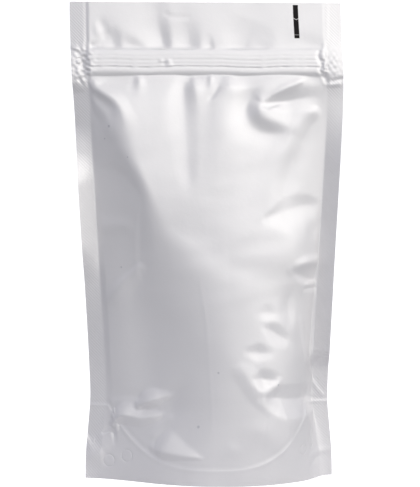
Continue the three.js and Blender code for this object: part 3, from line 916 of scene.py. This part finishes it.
def base_rows(film, films, levels, across):
    """The skirt's inner faces and the base panel, from the front film's bottom edge to the back film's.

    The panel rises from the curved weld of each film to its fold, 4s(1 - s) of the way, and lies flat where
    the fold would be below the floor.
    """
    gap = np.abs(films[FRONT][0, :, 1] - films[BACK][0, :, 1])
    open_share = smooth(0.9, 2.2, gap)
    weld = weld_height(film, across)
    tent = smooth(film.tent_start, film.tent_end, np.abs(across))
    fold = (film.gusset_fold + film.base_sag) * tent - film.base_sag
    walls = {}
    for side, points in films.items():
        walls[side] = np.array(
            [row_at(points, levels[side], share * weld * open_share) for share in SKIRT_SHARES]
        )
        walls[side][..., 1] -= side * film.wall * 2 * open_share
    panel = []
    for share in np.linspace(0.0, 1.0, PANEL_STEPS + 1)[1:-1]:
        even = open_share * share + (1.0 - open_share) * (share > 0.5)
        row = walls[FRONT][-1] + even[:, None] * (walls[BACK][-1] - walls[FRONT][-1])
        lift = 4.0 * share * (1.0 - share) * (fold - weld) * open_share
        row[:, 2] = np.maximum(row[:, 2] + lift, 0.0)
        panel.append(row)
    return np.concatenate([walls[FRONT], panel, walls[BACK][::-1]])


def pouch_belt(film):
    """The whole pouch as a belt of rows that each run across it, and the place on the film of each point.

    The belt goes up the front film, down and up in the mouth, down the back film and over the base panel.
    """
    half = film.width / 2
    columns = divided([(-half, -52, 26), (-52, 52, 146), (52, half, 26)])
    rows = divided(
        [
            (0, 20, 28),
            (20, 54, 58),
            (54, 178, 122),
            (178, film.zip_foot - 1.2, 24),
            (film.zip_foot - 1.2, film.zip_top + 1.2, 42),
            (film.zip_top + 1.2, film.height, 20),
        ]
    )
    levels = {FRONT: rows, BACK: rows[::2]}
    films, heights = {}, {}
    for side, level in levels.items():
        across, heights[side] = np.meshgrid(columns, level)
        films[side] = film_points(film, side, across, heights[side])
    open_share = smooth(0.5, 0.9, np.abs(films[FRONT][-1, :, 1] - films[BACK][-1, :, 1]))
    mouth = {side: mouth_rows(film, side, films[side], levels[side], open_share) for side in levels}
    base = base_rows(film, films, levels, columns)
    belt = np.concatenate([films[FRONT], mouth[FRONT], mouth[BACK][::-1], films[BACK][::-1], base[::-1]])
    place = np.zeros(belt.shape)
    place[..., 0] = columns
    place[..., 1] = belt[..., 2]
    place[..., 2] = INSIDE
    fronts = np.arange(len(rows))
    first_back = len(rows) + 2 * len(mouth[FRONT])
    backs = first_back + len(levels[BACK]) - 1 - np.arange(len(levels[BACK]))
    place[fronts, :, 1], place[fronts, :, 2] = heights[FRONT], FRONT
    place[backs, :, 1], place[backs, :, 2] = heights[BACK], BACK
    return belt, place, (fronts, backs)


def belt_faces(shape, pairs):
    """Faces of the belt, closed round the loop, and of its two narrow side edges.

    The back film has every second row of the front one, so that each face of a side edge has five corners.
    """
    rounds, columns = shape
    index = np.arange(rounds * columns).reshape(rounds, columns)
    after = np.roll(index, -1, axis=0)
    skin = np.stack([index[:, :-1], index[:, 1:], after[:, 1:], after[:, :-1]], axis=-1).reshape(-1, 4)
    faces = [skin]
    for column, order in ((0, 1), (-1, -1)):
        rim, far = index[pairs[0], column], index[pairs[1], column]
        edge = np.stack([rim[:-2:2], rim[1::2], rim[2::2], far[1:], far[:-1]], axis=-1)
        faces.append(edge[:, ::order])
    return faces


def merged(points, place, faces):
    """The same mesh with equal points made one, without the faces that are left with under three corners."""
    _, first, same = np.unique(np.round(points, 5), axis=0, return_index=True, return_inverse=True)
    kept = []
    for face in [corners for part in faces for corners in same.reshape(-1)[part].tolist()]:
        corners = list(dict.fromkeys(face))
        if len(corners) > 2:
            kept.append(corners)
    return points[first], place[first], kept


def placed(name, data):
    """A new object in the scene."""
    item = bpy.data.objects.new(name, data)
    bpy.context.scene.collection.objects.link(item)
    return item


def mesh_object(name, points, place, faces):
    """A smooth mesh object with its points in metres and the film's own coordinates as an attribute."""
    mesh = bpy.data.meshes.new(name)
    mesh.from_pydata((points * MM).tolist(), [], faces)
    mesh.polygons.foreach_set("use_smooth", np.ones(len(mesh.polygons), dtype=bool))
    mesh.set_sharp_from_angle(angle=math.radians(70))
    film_place = mesh.attributes.new("film", "FLOAT_VECTOR", "POINT")
    film_place.data.foreach_set("vector", place.astype(np.float32).ravel())
    mesh.validate()
    return placed(name, mesh)


class Shader:
    """A material's node tree, with short calls for the nodes that the finishes use."""

    def __init__(self, name):
        self.material = bpy.data.materials.new(name)
        self.material.use_nodes = True
        self.tree = self.material.node_tree
        self.surface = self.tree.nodes["Principled BSDF"]

    def node(self, kind, inputs=None, **settings):
        """A new node with its settings, and its inputs set to a value or linked to a socket."""
        made = self.tree.nodes.new(kind)
        for name, value in settings.items():
            setattr(made, name, value)
        for key, value in (inputs or {}).items():
            if isinstance(value, bpy.types.NodeSocket):
                self.tree.links.new(value, made.inputs[key])
            else:
                made.inputs[key].default_value = value
        return made

    def math(self, operation, first, second=0.0, third=0.0):
        """The result of one sum on up to three values or sockets."""
        return self.node("ShaderNodeMath", {0: first, 1: second, 2: third}, operation=operation).outputs[0]

    def step(self, value, low, high):
        """A smooth step of a socket, from 0 at low to 1 at high."""
        inputs = {"Value": value, "From Min": low, "From Max": high}
        return self.node("ShaderNodeMapRange", inputs, interpolation_type="SMOOTHSTEP").outputs["Result"]

    def between(self, value, low, high, edge):
        """1 between low and high, with smooth edges."""
        risen = self.step(value, low - edge, low + edge)
        return self.math("MULTIPLY", risen, self.step(value, high + edge, high - edge))

    def vector(self, operation, first, second):
        """The result of one sum on two vectors or sockets."""
        return self.node("ShaderNodeVectorMath", {0: first, 1: second}, operation=operation).outputs[0]

    def noise(self, place, scale, detail):
        """Smooth noise of 0 to 1 at a place."""
        inputs = {"Vector": place, "Scale": scale, "Detail": detail}
        return self.node("ShaderNodeTexNoise", inputs).outputs["Fac"]

    def mix(self, share, first, second):
        """A colour between two colours."""
        return self.node("ShaderNodeMix", {0: share, 6: first, 7: second}, data_type="RGBA").outputs[2]

    def link(self, socket, name):
        """Links a socket to the surface's input of that name."""
        self.tree.links.new(socket, self.surface.inputs[name])


def film_material(finish, film):
    """White satin foil film: hatched side welds, crisp weld lines, small specks and one print mark."""
    shader = Shader("white_foil_film")
    place = shader.node("ShaderNodeAttribute", attribute_name="film").outputs["Vector"]
    parts = shader.node("ShaderNodeSeparateXYZ", {0: place}).outputs
    across, height, side = parts[0], parts[1], parts[2]
    edge = shader.math("ABSOLUTE", across)
    seal = shader.step(edge, seal_edge(film) - 0.3, seal_edge(film) + 0.3)

    mark = print_mark(shader, across, height, side)
    white = (*finish.film_colour, 1.0)
    specked = shader.mix(specks(shader, place), white, (*finish.speck_colour, 1.0))
    shader.link(shader.mix(mark, specked, (*finish.mark_colour, 1.0)), "Base Color")

    mottle = shader.noise(place, 0.12, 3.0)
    shader.link(shader.math("MULTIPLY_ADD", mottle, MOTTLE, finish.film_roughness - MOTTLE / 2), "Roughness")
    shader.surface.inputs["IOR"].default_value = 1.5
    shader.link(shader.math("MULTIPLY_ADD", mark, -finish.film_sheen, finish.film_sheen), "Metallic")
    shader.link(shader.math("MULTIPLY_ADD", mark, -0.4, 0.5), "Specular IOR Level")

    pitch = finish.hatch_pitch / MM
    slant = shader.math("MULTIPLY_ADD", height, HATCH_SLANT, across)
    hatch = shader.math("SINE", shader.math("MULTIPLY", slant, 2.0 * math.pi / pitch))
    crushed = shader.between(height, film.zip_foot - 2.5, film.zip_top + 2.5, 2.0)
    hatch_height = shader.math("MULTIPLY_ADD", crushed, -HATCH_HEIGHT, HATCH_HEIGHT)
    hatch = shader.math("MULTIPLY", hatch, shader.math("MULTIPLY", seal, hatch_height))
    grain = shader.noise(place, 0.55, 2.0)
    fine = shader.math("ADD", hatch, shader.math("MULTIPLY", grain, GRAIN_HEIGHT))
    fine = shader.math("ADD", fine, weld_lines(shader, film, place, across, height))
    bump = shader.node("ShaderNodeBump", {"Height": fine, "Distance": MM, "Strength": 1.0})
    shader.link(bump.outputs["Normal"], "Normal")
    return shader.material


def weld_lines(shader, film, place, across, height):
    """Fine height of the curved weld's ledge and of the spot welds' rings, in millimetres."""
    left = shader.math("MULTIPLY", across, -1.0 / film.weld_left)
    share = shader.math("MAXIMUM", left, shader.math("MULTIPLY", across, 1.0 / film.weld_right))
    rise = shader.math("MINIMUM", shader.math("POWER", share, film.weld_power), 1.0)
    middle_rise = film.gusset_fold - film.skirt_height
    full = shader.math("MULTIPLY_ADD", across, film.gusset_skew / film.width, middle_rise)
    away = shader.math("SUBTRACT", height, shader.math("MULTIPLY", rise, full))
    above = shader.step(away, film.skirt_height - 0.3, film.skirt_height + 0.4)
    total = shader.math("MULTIPLY", above, -LEDGE_HEIGHT)
    for middle, level, wide, high in SPOT_WELDS:
        from_middle = shader.vector("SUBTRACT", place, (middle, level, 0.0))
        scaled = shader.vector("MULTIPLY", from_middle, (1.0 / wide, 1.0 / high, 0.0))
        distance = shader.node("ShaderNodeVectorMath", {0: scaled}, operation="LENGTH").outputs["Value"]
        ring = shader.between(distance, 0.92, 1.08, 0.1)
        total = shader.math("ADD", total, shader.math("MULTIPLY", ring, -RING_DEPTH))
    return total


def specks(shader, place):
    """Share of the small grey specks on the front film."""
    total = 0.0
    for across, height, radius in SPECKS:
        inputs = {0: place, 1: (across, height, FRONT)}
        distance = shader.node("ShaderNodeVectorMath", inputs, operation="DISTANCE").outputs["Value"]
        total = shader.math("MAXIMUM", shader.step(distance, 1.6 * radius, 0.4 * radius), total)
    return total


def print_mark(shader, across, height, side):
    """Share of the register bar: an upright bar on the front, near the top edge, with two scuffs."""
    lean = shader.math("MULTIPLY_ADD", height, MARK_LEAN, -MARK_LEAN * MARK_MIDDLE)
    bar = shader.between(shader.math("ADD", across, lean), *MARK_SIDES, 0.12)
    bar = shader.math("MULTIPLY", bar, shader.between(height, *MARK_ENDS, 0.12))
    wave = shader.math("MULTIPLY", shader.math("SINE", shader.math("MULTIPLY", across, 2.2)), 0.35)
    scuff = shader.between(shader.math("ADD", height, wave), *MARK_SCUFFS[0], 0.12)
    scuff = shader.math("MAXIMUM", scuff, shader.between(height, *MARK_SCUFFS[1], 0.1))
    bar = shader.math("MULTIPLY", bar, shader.math("MULTIPLY_ADD", scuff, -0.7, 1.0))
    return shader.math("MULTIPLY", bar, shader.math("LESS_THAN", side, -0.5))


class MESH_OT_pouch_film_add(bpy.types.Operator):
    """Make the pouch's film with its folds, welds and zip, and give it its finish"""

    bl_idname = "mesh.pouch_film_add"
    bl_label = "Add Pouch Film"
    bl_options = {"REGISTER", "UNDO"}

    def execute(self, context):
        film = in_millimetres(context.scene.pouch_film)
        belt, place, pairs = pouch_belt(film)
        faces = belt_faces(belt.shape[:2], pairs)
        piece = mesh_object("pouch_film", *merged(belt.reshape(-1, 3), place.reshape(-1, 3), faces))
        piece.data.materials.append(film_material(context.scene.pouch_finish, film))
        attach(piece, "root")
        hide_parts("pouch")
        return {"FINISHED"}


def towards(azimuth, elevation):
    """The direction to something that stands so many degrees to the right of the front, and so many up."""
    turn, rise = math.radians(azimuth), math.radians(elevation)
    return Vector((math.sin(turn) * math.cos(rise), -math.cos(turn) * math.cos(rise), math.sin(rise)))


def stand_back(item, aim, direction, distance):
    """Puts a light or camera so far from its aim, and turns it to face that."""
    item.location = aim + distance * direction
    item.rotation_euler = (-direction).to_track_quat("-Z", "Y").to_euler()


def soft_light(stage, name, size, azimuth, elevation, distance):
    """A square soft light in a direction from the middle of the pouch, turned towards it."""
    light = bpy.data.lights.new(name, "AREA")
    light.energy = getattr(stage, name + "_power")
    light.size = size
    light.color = LIGHTS_COLOUR
    stand_back(placed(name, light), LIGHTS_AIM, towards(azimuth, elevation), distance)


def studio_camera(stage):
    """A long lens in front of the pouch, a little above it."""
    camera = bpy.data.cameras.new("camera")
    camera.lens = stage.lens
    camera.sensor_width = 36.0
    camera.clip_end = 200.0
    eye = placed("camera", camera)
    aim = Vector((stage.aim_right, 0.0, stage.aim_height))
    back = Vector((0.0, -math.cos(stage.elevation), math.sin(stage.elevation)))
    stand_back(eye, aim, back, stage.distance)
    bpy.context.scene.camera = eye


def studio_floor(stage):
    """A wide pale floor that looks white to the camera and throws a softer light back on the pouch."""
    corners = [(FLOOR_HALF * x, FLOOR_HALF * y, 0.0) for x, y in ((-1, -1), (1, -1), (1, 1), (-1, 1))]
    mesh = bpy.data.meshes.new("floor")
    mesh.from_pydata(corners, [], [(0, 1, 2, 3)])
    floor = placed("floor", mesh)
    shader = Shader("pale_floor")
    place = shader.node("ShaderNodeTexCoord").outputs["Object"]
    away = shader.node("ShaderNodeVectorMath", {0: place}, operation="LENGTH").outputs["Value"]
    far = shader.step(away, 0.06, 0.24)
    shader.link(shader.mix(far, (*stage.floor_colour, 1.0), (*stage.far_colour, 1.0)), "Base Color")
    shader.surface.inputs["Roughness"].default_value = 0.9
    shader.surface.inputs["Emission Color"].default_value = (1.0, 1.0, 1.0, 1.0)
    seen = shader.node("ShaderNodeLightPath").outputs["Is Camera Ray"]
    shader.link(seen, "Emission Strength")
    mesh.materials.append(shader.material)


class SCENE_OT_pouch_stage_add(bpy.types.Operator):
    """Make the camera, the lights and the floor"""

    bl_idname = "scene.pouch_stage_add"
    bl_label = "Add Pouch Stage"
    bl_options = {"REGISTER", "UNDO"}

    def execute(self, context):
        stage = context.scene.pouch_stage
        studio_camera(stage)
        studio_floor(stage)
        for light in LIGHTS:
            soft_light(stage, *light)
        world = bpy.data.worlds.new("studio")
        world.use_nodes = True
        sky = world.node_tree.nodes["Background"]
        sky.inputs["Color"].default_value = SKY_COLOUR
        sky.inputs["Strength"].default_value = stage.sky_strength
        context.scene.world = world
        context.scene.view_settings.view_transform = "Standard"
        return {"FINISHED"}


class VIEW3D_PT_pouch(bpy.types.Panel):
    """Lists the pouch's sizes and the operators that make it"""

    bl_label = "Stand-up Pouch"
    bl_space_type = "VIEW_3D"
    bl_region_type = "UI"
    bl_category = "Pouch"

    def draw(self, context):
        scene = context.scene
        for group in (scene.pouch_film, scene.pouch_finish, scene.pouch_stage):
            box = self.layout.box()
            for name in group.__annotations__:
                box.prop(group, name)
        for operator in (MESH_OT_pouch_film_add, SCENE_OT_pouch_stage_add):
            self.layout.operator(operator.bl_idname)


CLASSES = (
    PouchFilm,
    PouchFinish,
    PouchStage,
    MESH_OT_pouch_film_add,
    SCENE_OT_pouch_stage_add,
    VIEW3D_PT_pouch,
)
GROUPS = {"pouch_film": PouchFilm, "pouch_finish": PouchFinish, "pouch_stage": PouchStage}


def register():
    for item in CLASSES:
        bpy.utils.register_class(item)
    for name, group in GROUPS.items():
        setattr(bpy.types.Scene, name, bpy.props.PointerProperty(type=group))


def unregister():
    for name in GROUPS:
        delattr(bpy.types.Scene, name)
    for item in reversed(CLASSES):
        bpy.utils.unregister_class(item)


def main():
    register()
    bpy.ops.mesh.pouch_film_add()
    bpy.ops.scene.pouch_stage_add()


if __name__ == "__main__":
    main()
